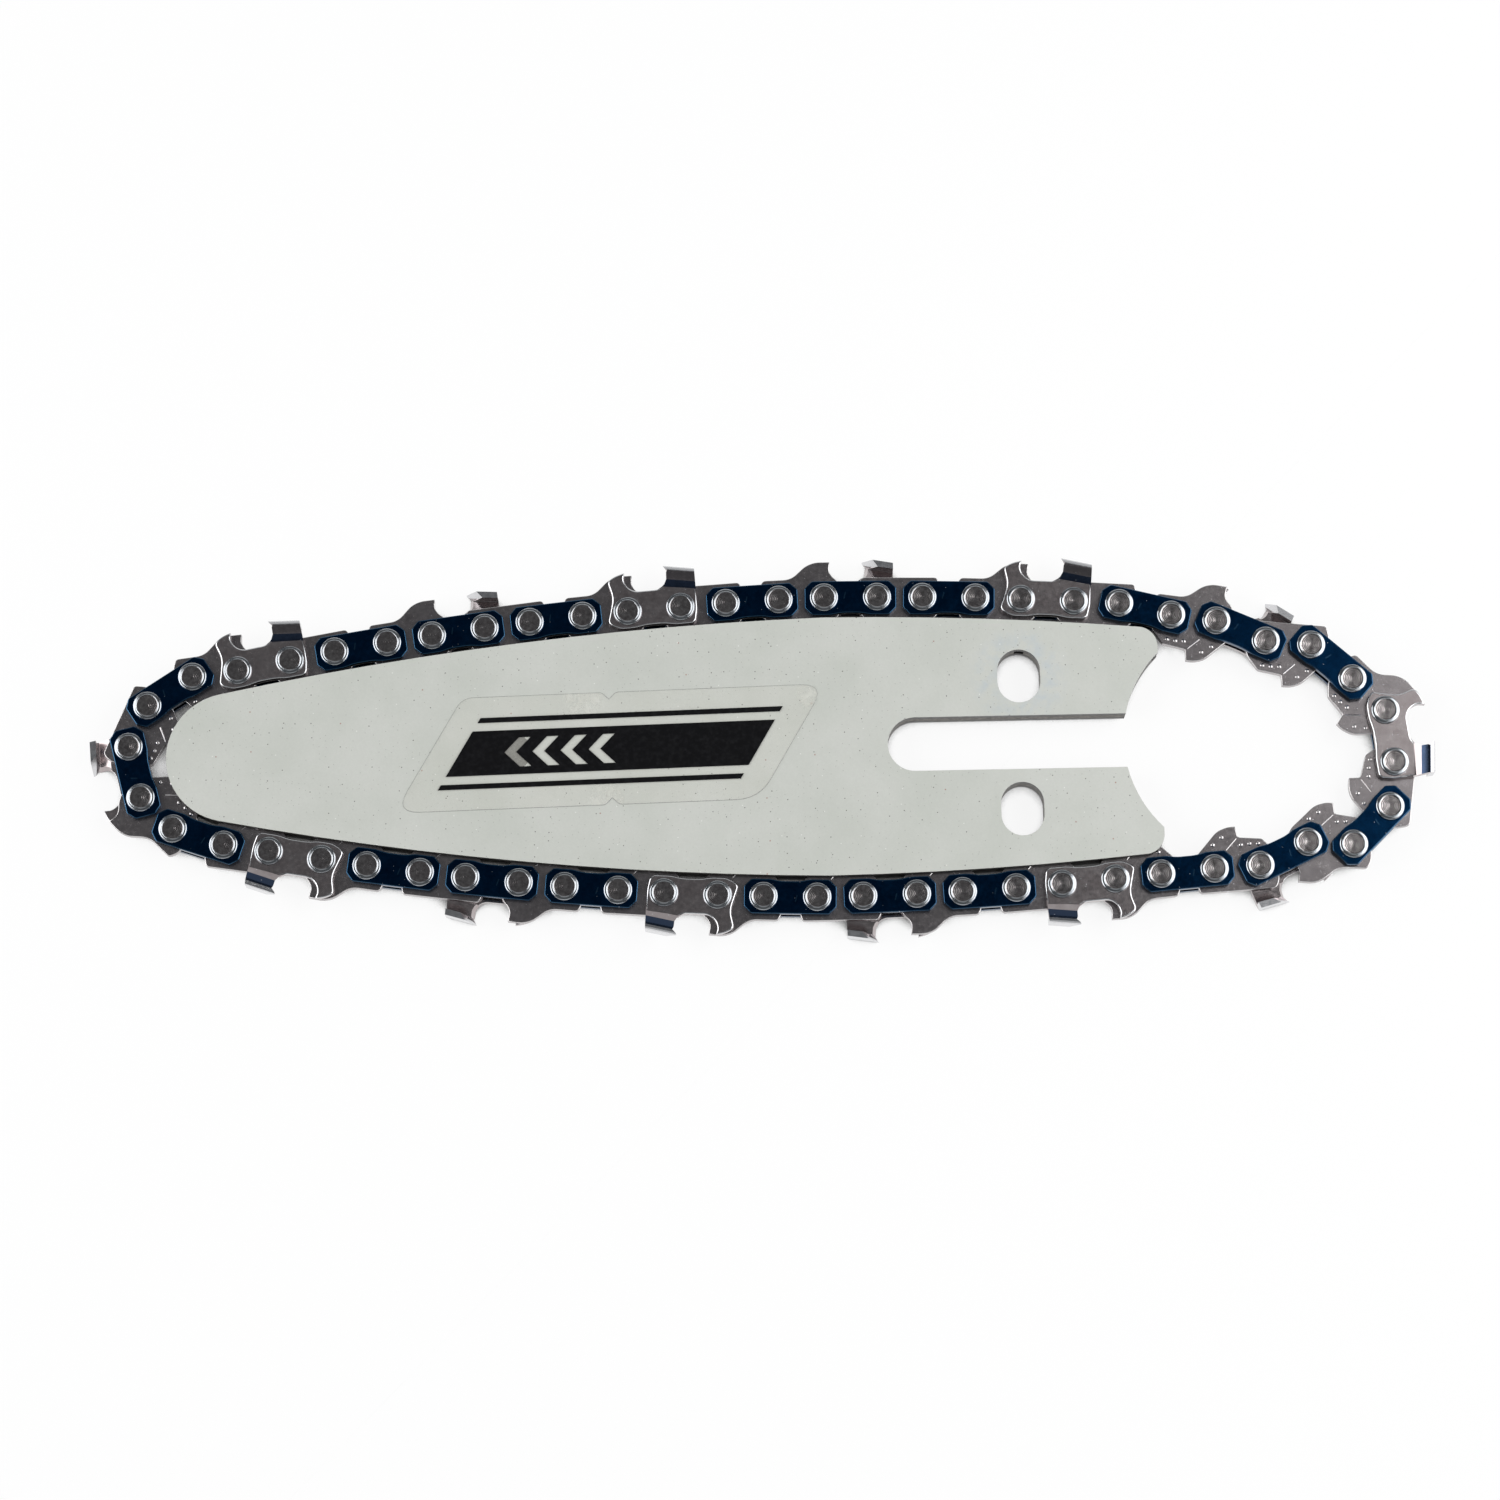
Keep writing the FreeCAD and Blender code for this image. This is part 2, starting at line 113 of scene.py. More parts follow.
def soft_box(name, azimuth, elevation, distance, size, glow):
    """A square lamp that faces the part. The angles are in degrees; distance and size are in metres."""
    a, e = math.radians(azimuth), math.radians(elevation)
    toward = Vector((math.cos(a) * math.cos(e), math.sin(a) * math.cos(e), math.sin(e)))
    lamp = bpy.data.objects.new(name, bpy.data.lights.new(name, "AREA"))
    lamp.data.shape = "SQUARE"
    lamp.data.size = size
    lamp.data.energy = glow * math.pi * size ** 2
    lamp.location = AIM + toward * distance
    lamp.rotation_euler = toward.to_track_quat("Z", "Y").to_euler()
    bpy.context.collection.objects.link(lamp)


soft_box("box_left", 178, 30, 0.60, 0.62, 2.9)
soft_box("box_right", 2, 32, 0.50, 0.60, 2.5)
soft_box("box_far", 88, 26, 0.70, 0.60, 0.45)
soft_box("box_near", 268, 24, 0.65, 0.55, 0.35)
soft_box("box_high_right", 12, 60, 0.80, 0.42, 0.95)

world = bpy.data.worlds.new("room")
bpy.context.scene.world = world
world.use_nodes = True
room = world.node_tree.nodes["Background"]
seen = world.node_tree.nodes.new("ShaderNodeBackground")
seen.inputs["Color"].default_value = (1, 1, 1, 1)
seen.inputs["Strength"].default_value = 1.0
room.inputs["Color"].default_value = ROOM_COLOUR
room.inputs["Strength"].default_value = ROOM_GLOW
path = world.node_tree.nodes.new("ShaderNodeLightPath")
choose = world.node_tree.nodes.new("ShaderNodeMixShader")
world.node_tree.links.new(path.outputs["Is Camera Ray"], choose.inputs["Fac"])
world.node_tree.links.new(room.outputs["Background"], choose.inputs[1])
world.node_tree.links.new(seen.outputs["Background"], choose.inputs[2])
world.node_tree.links.new(choose.outputs["Shader"], world.node_tree.nodes["World Output"].inputs["Surface"])

# %% [markdown]
# ## Shader helpers
#
# Every finish here is a Principled shader fed by a few noise patterns. A tiny class keeps the node tree
# readable: each method adds one node and hands back its output.


# %% Shader helpers
class Finish:
    """A material under construction, with one Principled shader."""

    def __init__(self, name, **constants):
        self.material = bpy.data.materials.new(name)
        self.material.use_nodes = True
        self.tree = self.material.node_tree
        self.shader = self.tree.nodes["Principled BSDF"]
        for socket, value in constants.items():
            self.shader.inputs[socket.replace("_", " ")].default_value = value
        self.place = self.add("ShaderNodeTexCoord").outputs["Object"]

    def add(self, kind, **settings):
        node = self.tree.nodes.new(kind)
        for name, value in settings.items():
            setattr(node, name, value)
        return node

    def link(self, value, socket):
        if isinstance(value, bpy.types.NodeSocket):
            self.tree.links.new(value, socket)
        else:
            socket.default_value = value

    def noise(self, size_mm, detail=3.0, rough=0.55, where=None):
        node = self.add("ShaderNodeTexNoise")
        node.inputs["Scale"].default_value = 1 / (size_mm * MM)
        node.inputs["Detail"].default_value = detail
        node.inputs["Roughness"].default_value = rough
        self.link(where or self.place, node.inputs["Vector"])
        return node.outputs["Fac"]

    def specks(self, spacing_mm, radius_mm, share=1.0):
        """Dots strewn about: 1 inside a dot and 0 elsewhere. Share is how many cells have one."""
        cells = self.add("ShaderNodeTexVoronoi", voronoi_dimensions="2D")
        cells.inputs["Scale"].default_value = 1 / (spacing_mm * MM)
        self.link(self.place, cells.inputs["Vector"])
        dots = self.ramp(cells.outputs["Distance"], radius_mm / spacing_mm, 0.6 * radius_mm / spacing_mm)
        pick = self.add("ShaderNodeSeparateColor")
        self.link(cells.outputs["Color"], pick.inputs["Color"])
        kept = self.ramp(pick.outputs["Red"], share + 0.01, share)
        return self.math("MULTIPLY", dots, kept)

    def ramp(self, value, low, high, out_low=0.0, out_high=1.0):
        node = self.add("ShaderNodeMapRange")
        ends = {"From Min": low, "From Max": high, "To Min": out_low, "To Max": out_high}
        for socket, number in ends.items():
            node.inputs[socket].default_value = number
        self.link(value, node.inputs["Value"])
        return node.outputs["Result"]

    def math(self, operation, a, b=0.0):
        node = self.add("ShaderNodeMath", operation=operation)
        self.link(a, node.inputs[0])
        self.link(b, node.inputs[1])
        return node.outputs["Value"]

    def mix(self, share, a, b):
        node = self.add("ShaderNodeMix", data_type="RGBA")
        self.link(share, node.inputs["Factor"])
        self.link(a, node.inputs["A"])
        self.link(b, node.inputs["B"])
        return node.outputs[2]

    def ring(self, x, y, radius, width):
        """1 on a circle round a point of the bar, fading to 0 within width of it."""
        away = self.add("ShaderNodeVectorMath", operation="DISTANCE")
        flat = self.add("ShaderNodeVectorMath", operation="MULTIPLY")
        self.link(self.place, flat.inputs[0])
        flat.inputs[1].default_value = (1, 1, 0)
        self.link(flat.outputs["Vector"], away.inputs[0])
        away.inputs[1].default_value = (x * MM, y * MM, 0)
        off = self.math("ABSOLUTE", self.math("SUBTRACT", away.outputs["Value"], radius * MM))
        return self.ramp(off, width * MM, 0.0)

    def colour(self, value):
        self.link(value, self.shader.inputs["Base Color"])

    def roughness(self, value):
        self.link(value, self.shader.inputs["Roughness"])

    def bump(self, height, depth_mm):
        node = self.add("ShaderNodeBump")
        node.inputs["Strength"].default_value = 1.0
        node.inputs["Distance"].default_value = depth_mm * MM
        self.link(height, node.inputs["Height"])
        self.link(node.outputs["Normal"], self.shader.inputs["Normal"])


def rgb(red, green, blue):
    """A colour as a screen shows it, 0 to 255, turned into the shader's linear values."""
    channels = [c / 255 for c in (red, green, blue)]
    return tuple(c / 12.92 if c <= 0.04045 else ((c + 0.055) / 1.055) ** 2.4 for c in channels) + (1.0,)


print("helpers ready")

# %% [markdown]
# ## The table
#
# The bar lies on a white table. The camera and the metal see the table as white, by Light Path, while a
# share of real diffuse white keeps the soft shadow under the chain. In narrow gaps, where no light would
# reach the table, its glow fades.

# %% The table
TABLE_COLOUR = (0.93, 0.93, 0.93, 1)
TABLE_WHITE = 0.90
TABLE_REACH = 3.0
TABLE_GAP = 0.02
CREVICE_REACH = 3.0
CREVICE_SHUT, CREVICE_OPEN = 0.33, 0.50
CREVICE_GLOW = 0.05

table = Finish("table_white", Roughness=0.9)
table.shader.inputs["Base Color"].default_value = TABLE_COLOUR
glow = table.add("ShaderNodeEmission")
glow.inputs["Color"].default_value = (1, 1, 1, 1)
crevice = table.add("ShaderNodeAmbientOcclusion", samples=12)
crevice.inputs["Distance"].default_value = CREVICE_REACH * MM
open_share = table.ramp(crevice.outputs["AO"], CREVICE_SHUT, CREVICE_OPEN, CREVICE_GLOW, 1.0)
table.link(open_share, glow.inputs["Strength"])
ray = table.add("ShaderNodeLightPath")
seen_white = table.math("MAXIMUM", ray.outputs["Is Camera Ray"], ray.outputs["Is Glossy Ray"])
seen_white = table.math("MAXIMUM", seen_white, ray.outputs["Is Transmission Ray"])
blend_white = table.add("ShaderNodeMixShader")
table.link(table.math("MULTIPLY", seen_white, TABLE_WHITE), blend_white.inputs["Fac"])
table.link(table.shader.outputs["BSDF"], blend_white.inputs[1])
table.link(glow.outputs["Emission"], blend_white.inputs[2])
table.link(blend_white.outputs["Shader"], table.tree.nodes["Material Output"].inputs["Surface"])

bm = bmesh.new()
bmesh.ops.create_grid(bm, x_segments=1, y_segments=1, size=TABLE_REACH)
bmesh.ops.translate(bm, verts=bm.verts, vec=(0, 0, cad_bounds[0][2] - TABLE_GAP * MM))
floor = bpy.data.objects.new("table", bpy.data.meshes.new("table"))
bm.to_mesh(floor.data)
bm.free()
floor.data.materials.append(table.material)
bpy.context.collection.objects.link(floor)
print("table at z in mm:", round(cad_bounds[0][2] / MM, 2))

# %% [markdown]
# ## Finishes
#
# The bar wears a satin grey enamel with dust caught in it. The chain has four kinds of steel: blued straps,
# cutters with thin hard chrome, tumbled drive links, and rivets whose heads were spun flat. Each finish is
# a few patterns at their real sizes, rather than a picture wrapped round the part, so it can be looked at
# closely from anywhere. The plates' thin walls are painted dark: partly the bare, oily steel of the rail,
# partly painted shade for walls that lie in shadow in the slot, the holes and the gaps under the chain.

# %% Bar enamel
TENSIONER_HOLE_Y = 8.7
STAIN_RADIUS, STAIN_WIDTH = 4.2, 2.6
WALL_END, FACE_START = 1.55, 1.60

enamel = Finish("bar_enamel", IOR=1.5)
cloud = enamel.noise(9.0, 4.0)
enamel_colour = enamel.mix(enamel.ramp(cloud, 0.35, 0.65), rgb(196, 199, 192), rgb(203, 205, 199))
stain = enamel.ring(0, TENSIONER_HOLE_Y, STAIN_RADIUS, STAIN_WIDTH)
bluish = enamel.math("MULTIPLY", stain, enamel.ramp(enamel.noise(1.6), 0.4, 0.75))
enamel_colour = enamel.mix(enamel.math("MULTIPLY", bluish, 0.55), enamel_colour, rgb(176, 190, 203))
dust = enamel.specks(1.9, 0.085, 0.30)
fine_dust = enamel.specks(0.85, 0.055, 0.35)
rust_dust = enamel.specks(5.5, 0.12, 0.25)
pale_dust = enamel.specks(2.6, 0.09, 0.25)
grain = enamel.ramp(enamel.noise(0.25, 2.0), 0.3, 0.7, 0.0, 0.12)
enamel_colour = enamel.mix(grain, enamel_colour, rgb(168, 168, 162))
for dots, strength, dot_colour in ((fine_dust, 0.7, rgb(120, 118, 114)), (dust, 0.95, rgb(70, 66, 64)),
                                   (rust_dust, 0.7, rgb(150, 96, 80)), (pale_dust, 0.7, rgb(236, 237, 233))):
    enamel_colour = enamel.mix(enamel.math("MULTIPLY", dots, strength), enamel_colour, dot_colour)
height = enamel.add("ShaderNodeSeparateXYZ")
enamel.link(enamel.place, height.inputs["Vector"])
# The thin walls get a dark colour: partly bare oily rail steel, partly painted shade.
face_share = enamel.ramp(enamel.math("ABSOLUTE", height.outputs["Z"]), WALL_END * MM, FACE_START * MM)
enamel_colour = enamel.mix(face_share, rgb(58, 56, 54), enamel_colour)
enamel.colour(enamel_colour)
enamel.roughness(enamel.ramp(enamel.noise(0.9, 5.0), 0.3, 0.7, 0.36, 0.50))
peel = enamel.math("MULTIPLY", enamel.noise(0.7, 2.0), 0.6)
enamel.bump(enamel.math("ADD", peel, dust), 0.012)

# %% Core steel
core_steel = Finish("core_steel", Metallic=1.0)
core_cloud = core_steel.ramp(core_steel.noise(0.6, 6.0), 0.3, 0.7)
core_steel.colour(core_steel.mix(core_cloud, rgb(70, 66, 62), rgb(128, 124, 118)))
core_steel.roughness(core_steel.ramp(core_steel.noise(0.25, 3.0), 0.3, 0.7, 0.42, 0.62))
core_steel.bump(core_steel.noise(0.2, 5.0), 0.01)

# %% Blued, chromed and tumbled steel
# Levels of the painted reflection bands on the cutters' folds: brown at half, navy at full.
BROWN_REFLECTION, BLUE_REFLECTION = 0.5, 1.0


def steel(name, dark, light, rim_wear_and_highlight, roughness, speck_share, grain_depth):
    """Cloudy, finely brushed steel with a few tiny white specks. Rims marked by the mesh are painted
    lighter, partly wear and partly a painted highlight; marked bands are painted reflections.
    """
    finish = Finish(name, Metallic=1.0)
    cloud = finish.ramp(finish.noise(1.6, 5.0, 0.6), 0.3, 0.7)
    colour = finish.mix(cloud, dark, light)
    rim = finish.add("ShaderNodeAttribute", attribute_name="rim").outputs["Fac"]
    # Rims marked by the mesh are painted lighter: partly worn bare steel, partly a painted highlight.
    colour = finish.mix(rim, colour, rim_wear_and_highlight)
    painted_reflection = finish.add("ShaderNodeAttribute", attribute_name="painted_reflection").outputs["Fac"]
    # Bands marked on the folds are painted reflections, brown and navy.
    colour = finish.mix(finish.ramp(painted_reflection, 0.0, BROWN_REFLECTION), colour, rgb(144, 138, 140))
    colour = finish.mix(finish.ramp(painted_reflection, BROWN_REFLECTION, BLUE_REFLECTION), colour, rgb(58, 71, 93))
    # Tiny white specks are strewn on the steel and raised a little.
    white_specks = finish.specks(0.7, 0.055, speck_share)
    colour = finish.mix(finish.math("MULTIPLY", white_specks, 0.8), colour, rgb(238, 240, 245))
    finish.colour(colour)
    finish.roughness(finish.ramp(finish.noise(0.5, 4.0), 0.3, 0.7, roughness - 0.03, roughness + 0.06))
    brushed = finish.add("ShaderNodeVectorMath", operation="MULTIPLY")
    finish.link(finish.place, brushed.inputs[0])
    brushed.inputs[1].default_value = (0.25, 1.0, 1.0)
    scratches = finish.noise(0.12, 3.0, 0.5, brushed.outputs["Vector"])
    finish.bump(finish.math("ADD", scratches, finish.math("MULTIPLY", white_specks, 3.0)), grain_depth)
    return finish


# The third colour of each steel is its rims' colour: partly wear, partly a painted highlight.
blued = steel("blued_steel", rgb(6, 36, 66), rgb(12, 52, 88), rgb(52, 86, 114),
              roughness=0.19, speck_share=0.05, grain_depth=0.0006)
chromed = steel("chromed_cutter", rgb(172, 162, 162), rgb(192, 184, 184), rgb(218, 218, 220),
                roughness=0.20, speck_share=0.12, grain_depth=0.0008)
tumbled = steel("tumbled_link", rgb(156, 150, 151), rgb(175, 169, 170), rgb(220, 218, 218),
                roughness=0.22, speck_share=0.12, grain_depth=0.0010)

# %% Spun rivet steel
FACE_RADIUS, LIP_RADIUS = 1.34, 1.38
RINGS = 30.0

rivet_steel = Finish("spun_rivet", Metallic=1.0, Roughness=0.15, Anisotropic=0.45)
head_map = rivet_steel.add("ShaderNodeUVMap", uv_map="head").outputs["UV"]
from_axis = rivet_steel.add("ShaderNodeVectorMath", operation="LENGTH")
rivet_steel.link(head_map, from_axis.inputs[0])
radius_mm = from_axis.outputs["Value"]
turned = rivet_steel.math("SINE", rivet_steel.math("MULTIPLY", radius_mm, RINGS))
smear = rivet_steel.noise(0.45, 4.0, 0.6)
rivet_face = rivet_steel.ramp(radius_mm, LIP_RADIUS, FACE_RADIUS)
rivet_colour = rivet_steel.mix(rivet_steel.ramp(smear, 0.3, 0.7), rgb(134, 128, 128), rgb(188, 183, 182))
rivet_colour = rivet_steel.mix(rivet_face, rgb(176, 180, 184), rivet_colour)
rivet_steel.colour(rivet_colour)
around = rivet_steel.add("ShaderNodeTangent", direction_type="UV_MAP", uv_map="polar")
rivet_steel.link(around.outputs["Tangent"], rivet_steel.shader.inputs["Tangent"])
marks = rivet_steel.math("ADD", turned, rivet_steel.math("MULTIPLY", smear, 2.0))
rivet_steel.bump(rivet_steel.math("MULTIPLY", marks, rivet_face), 0.004)
print("finishes:", [m.name for m in bpy.data.materials])

# %% [markdown]
# ## Where the rivets are
#
# The chain's route is in the solids already. Each drive link has two bores, and their middles are the
# rivets. Reading them from the frame keeps every new piece on its solid; typed places could go stale.

# %% Rivets from the bores
WELD_WITHIN = 0.002
UPRIGHT = 0.5


def bore_centres(node):
    """Middles of the two bores of a drive link, in mm, from the upright walls of its mesh."""
    mesh = bmesh.new()
    mesh.from_mesh(node.data)
    bmesh.ops.remove_doubles(mesh, verts=mesh.verts, dist=WELD_WITHIN * MM)
    walls = {face for face in mesh.faces if abs(face.normal.z) < UPRIGHT}
    rings = []
    while walls:
        ring, edge_of = set(), [walls.pop()]
        while edge_of:
            face = edge_of.pop()
            ring.update(face.verts)
            near = {f for e in face.edges for f in e.link_faces} & walls
            walls -= near
            edge_of.extend(near)
        rings.append(sorted((vert.co / MM for vert in ring), key=tuple))
    mesh.free()
    rings.sort(key=len)
    return [sum(ring, Vector()) / len(ring) for ring in rings[:2]]


link_count = sum(name.startswith("drive_link_") for name in frame["nodes"])
bores = [bore_centres(frame["nodes"]["drive_link_%02d" % (k + 1)]) for k in range(link_count)]
rivets = {}
for k in range(link_count):
    following = bores[(k + 1) % link_count]
    first, second = sorted(bores[k], key=lambda p: -min((p - q).length for q in following))
    rivets[2 * k + 2] = first.to_2d()
    rivets[(2 * k + 2) % (2 * link_count) + 1] = second.to_2d()
side_span = (rivets[2] - rivets[1]).length
drive_span = (rivets[3] - rivets[2]).length
print("rivets:", len(rivets), "spans:", round(side_span, 3), round(drive_span, 3))

# %% [markdown]
# ## Sheet-metal helpers
#
# Stamped links are flat outlines with rounded corners, holes, a thickness, and rounded rims. One helper
# fills an outline with its holes and extrudes it. Its rims are rounded by insetting the flat face a few
# times, each inset a little further in and up along a quarter circle. A bevel would do the same on a plain
# box, but it tears where the long edges of a filled face meet the rim. The new faces get a mark, "rim",
# which the steels read to paint them lighter: partly worn bare steel, partly a painted highlight.

# %% Sheet-metal helpers
ROUND_STEPS = 6
MOST_OF_EDGE = 0.48
LEVEL = 0.999
FLAT_WITHIN = math.radians(0.5)
FLIP = Matrix.Scale(-1, 4, (0, 0, 1))


def arc_points(x, y, radius, start, end, count):
    angles = [math.radians(start + (end - start) * i / count) for i in range(count + 1)]
    return [(x + radius * math.cos(a), y + radius * math.sin(a)) for a in angles]


def circle(x, y, radius, count=32):
    return arc_points(x, y, radius, 0, 360, count)[:-1]


def rounded(points, setbacks):
    """An outline with rounded corners. Setbacks says how far from which corner its round starts."""
    loop = []
    for i, point in enumerate(points):
        here = Vector(point)
        before, after = Vector(points[i - 1]) - here, Vector(points[(i + 1) % len(points)]) - here
        setback = min(setbacks.get(i, 0.0), MOST_OF_EDGE * before.length, MOST_OF_EDGE * after.length)
        if setback == 0:
            loop.append(point)
            continue
        start, end = here + before.normalized() * setback, here + after.normalized() * setback
        for k in range(ROUND_STEPS + 1):
            t = k / ROUND_STEPS
            spot = start * (1 - t) ** 2 + here * 2 * t * (1 - t) + end * t ** 2
            loop.append((spot.x, spot.y))
    return loop


def rim_mark(mesh):
    return mesh.faces.layers.float.get("rim") or mesh.faces.layers.float.new("rim")


def mark_all(mesh, shine):
    mark = rim_mark(mesh)
    for face in mesh.faces:
        face[mark] = shine


def round_rim(mesh, up, radius, shine, steps=3):
    """Rounds the rim of the flat top of a blank, or of its underside if up is -1."""
    mark = rim_mark(mesh)
    for i in range(steps):
        low, high = (math.radians(90 * (i + k) / steps) for k in (0, 1))
        flat = [face for face in mesh.faces if face.normal.z * up > LEVEL and face[mark] == 0]
        made = bmesh.ops.inset_region(mesh, faces=flat, use_boundary=True, use_even_offset=True,
                                      thickness=radius * (math.cos(low) - math.cos(high)),
                                      depth=radius * (math.sin(high) - math.sin(low)))
        for face in made["faces"]:
            face[mark] = shine


def stamped(points, holes, z0, z1, rims=(0.0, 0.0), shine=1.0):
    """A blank from z0 to z1 out of lists of points. Rims are the roundings of its underside and top."""
    mesh = bmesh.new()
    rim = []
    for loop in [points] + holes:
        corners = [mesh.verts.new((x, y, z0 + rims[0])) for x, y in loop]
        rim += [mesh.edges.new((corners[i - 1], corners[i])) for i in range(len(corners))]
    bmesh.ops.triangle_fill(mesh, use_beauty=True, use_dissolve=False, edges=rim)
    made = bmesh.ops.extrude_face_region(mesh, geom=mesh.faces[:])
    top = [v for v in made["geom"] if isinstance(v, bmesh.types.BMVert)]
    bmesh.ops.translate(mesh, verts=top, vec=(0, 0, z1 - rims[1] - z0 - rims[0]))
    bmesh.ops.recalc_face_normals(mesh, faces=mesh.faces)
    bmesh.ops.dissolve_limit(mesh, angle_limit=FLAT_WITHIN, verts=mesh.verts, edges=mesh.edges)
    rim_mark(mesh)
    for up, radius in ((-1, rims[0]), (1, rims[1])):
        if radius > 0:
            round_rim(mesh, up, radius, shine)
    return mesh


def between(a, b):
    """The turn and shift that lay a link, drawn about its middle, between two rivets."""
    middle = (a + b) / 2
    turn = math.atan2(b.y - a.y, b.x - a.x)
    return Matrix.Translation((middle.x, middle.y, 0)) @ Matrix.Rotation(turn, 4, "Z")


def add_copy(target, template, matrix):
    """Adds a copy of a template to a mesh, turned right side out if the matrix mirrors it."""
    copy = template.copy()
    bmesh.ops.transform(copy, matrix=matrix, verts=copy.verts)
    if matrix.determinant() < 0:
        bmesh.ops.reverse_faces(copy, faces=copy.faces)
    holder = bpy.data.meshes.new("copy")
    copy.to_mesh(holder)
    copy.free()
    target.from_mesh(holder)
    bpy.data.meshes.remove(holder)


def finish_piece(name, mesh, finish, body, nodes=(), crease=32.0):
    """Turns a mesh in mm into a piece in metres that rides on a body and stands for its solids."""
    bmesh.ops.scale(mesh, vec=(MM, MM, MM), verts=mesh.verts)
    data = bpy.data.meshes.new(name)
    mesh.to_mesh(data)
    mesh.free()
    data.shade_smooth()
    data.set_sharp_from_angle(angle=math.radians(crease))
    data.materials.append(finish.material)
    piece = bpy.data.objects.new(name, data)
    bpy.context.collection.objects.link(piece)
    weighted = piece.modifiers.new("even_shading", "WEIGHTED_NORMAL")
    weighted.keep_sharp = True
    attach(piece, body)
    if nodes:
        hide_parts(*nodes)
    return piece


print("helpers ready")

# %% [markdown]
# ## Guide bar
#
# The bar is two painted side plates on a narrower core, so its edge is a groove. The solids already have
# the true outline, so the plates are copies of them whose rims are rounded a little: a knife-sharp rim
# never catches light. The core keeps its solid and only gets bare steel.

# %% Side plates
PLATE_RIM = 0.09
NEAR_LEVEL = 0.9


def softened_copy(node, width):
    """A copy of a flat solid with its rims, where a level face turns down into a wall, bevelled."""
    mesh = bmesh.new()
    mesh.from_mesh(frame["nodes"][node].data)
    bmesh.ops.remove_doubles(mesh, verts=mesh.verts, dist=WELD_WITHIN * MM)
    bmesh.ops.scale(mesh, vec=(1 / MM, 1 / MM, 1 / MM), verts=mesh.verts)
    bmesh.ops.dissolve_limit(mesh, angle_limit=FLAT_WITHIN, verts=mesh.verts, edges=mesh.edges)
    rims = [edge for edge in mesh.edges
            if sum(abs(face.normal.z) > NEAR_LEVEL for face in edge.link_faces) == 1]
    bmesh.ops.bevel(mesh, geom=rims, offset=width, offset_type="OFFSET", affect="EDGES", segments=2,
                    profile=0.5, material=-1, clamp_overlap=True)
    return mesh


for side in ("upper", "lower"):
    node = "bar_side_plate_" + side
    softened = softened_copy(node, PLATE_RIM)
    plate = finish_piece("side_plate_" + side, softened, enamel, node_body[node], [node])
    print(plate.name, len(plate.data.polygons), "faces")
core_materials = frame["nodes"]["bar_core_plate"].data.materials
core_materials.clear()
core_materials.append(core_steel.material)

# %% [markdown]
# ## Rivets
#
# A rivet head is spun flat in the press: a low drum with a polished round shoulder and a dull, slightly
# dished face inside a small raised lip. A profile spun round its axis gives exactly that. Two maps go with
# it: one holds the place on the head, for the turned rings, and one runs round the axis, so that the
# brushed reflections fan out from the middle as they do on turned steel.

# %% Rivet
HEAD_RADIUS = 1.87
SHANK_RADIUS = 1.50
SIDE_INNER = 0.58
SIDE_OUTER = 1.58
HEAD_TOP = 2.03
SPIN_STEPS = 40
AXIS_WELD = 1e-4
ON_AXIS = 0.01

dish = [(0, 0.10), (0.18, 0.08), (0.90, 0.06), (1.30, 0.055)]
lip = [(1.35, 0.05), (1.39, 0.01), (1.42, 0), (1.45, 0.015), (1.475, 0.06)]
shoulder = [(1.52, 0.075), (1.68, 0.08), (1.74, 0.10), (1.79, 0.14), (1.83, 0.20), (1.855, 0.28)]
head_profile = [(radius, HEAD_TOP - drop) for radius, drop in dish + lip + shoulder]
head_profile.append((HEAD_RADIUS, SIDE_OUTER))
shank_profile = [(SHANK_RADIUS, SIDE_OUTER), (SHANK_RADIUS, -SIDE_OUTER)]
profile = head_profile + shank_profile + [(r, -z) for r, z in reversed(head_profile)]
rivet = bmesh.new()
line = [rivet.verts.new((r, 0, z)) for r, z in profile]
line_edges = [rivet.edges.new(pair) for pair in zip(line, line[1:])]
bmesh.ops.spin(rivet, geom=line + line_edges, cent=(0, 0, 0), axis=(0, 0, 1), angle=math.tau,
               steps=SPIN_STEPS, use_merge=True)
bmesh.ops.remove_doubles(rivet, verts=rivet.verts, dist=AXIS_WELD)
bmesh.ops.recalc_face_normals(rivet, faces=rivet.faces)
head_layer = rivet.loops.layers.uv.new("head")
polar_layer = rivet.loops.layers.uv.new("polar")
for face in rivet.faces:
    middle = face.calc_center_median().xy
    for loop in face.loops:
        spot = loop.vert.co.xy
        turn = middle.angle_signed(spot, 0.0) if spot.length > ON_AXIS else 0.0
        loop[head_layer].uv = spot
        loop[polar_layer].uv = (math.atan2(middle.y, middle.x) - turn, spot.length)
print("rivet faces:", len(rivet.faces))

# %% Placing of the rivets
groups = {}
for number, place in rivets.items():
    pair = (number + 1) // 2
    owner = next(node for node in ("tie_strap_upper_%02d" % pair, "tie_strap_lower_%02d" % pair,
                                   "tie_straps_upper_top_run") if node in node_body)
    body = node_body[owner]
    if body not in groups:
        groups[body] = bmesh.new()
    add_copy(groups[body], rivet, Matrix.Translation((place.x, place.y, 0)))
for body, mesh in groups.items():
    finish_piece("rivets_" + body, mesh, rivet_steel, body, crease=50.0)
print("rivet pieces:", sorted(groups))

# %% [markdown]
# ## Tie straps
#
# Plain side links, blued by heat. Their corners are cut, their edge toward the bar is hollowed between two
# feet that slide on the rail, and a small punch mark sits near the middle.

# %% Tie straps
STRAP_END = side_span / 2 + 2.50
STRAP_TOP = 2.20
STRAP_FOOT = 2.28
CORNER = 0.95
WAIST = 2.00
WAIST_HALF = 2.60
WAIST_FLAT = 0.45 * WAIST_HALF
STRAP_RIMS = (0.05, 0.13)
side_holes = [circle(side * side_span / 2, 0, SHANK_RADIUS) for side in (-1, 1)]

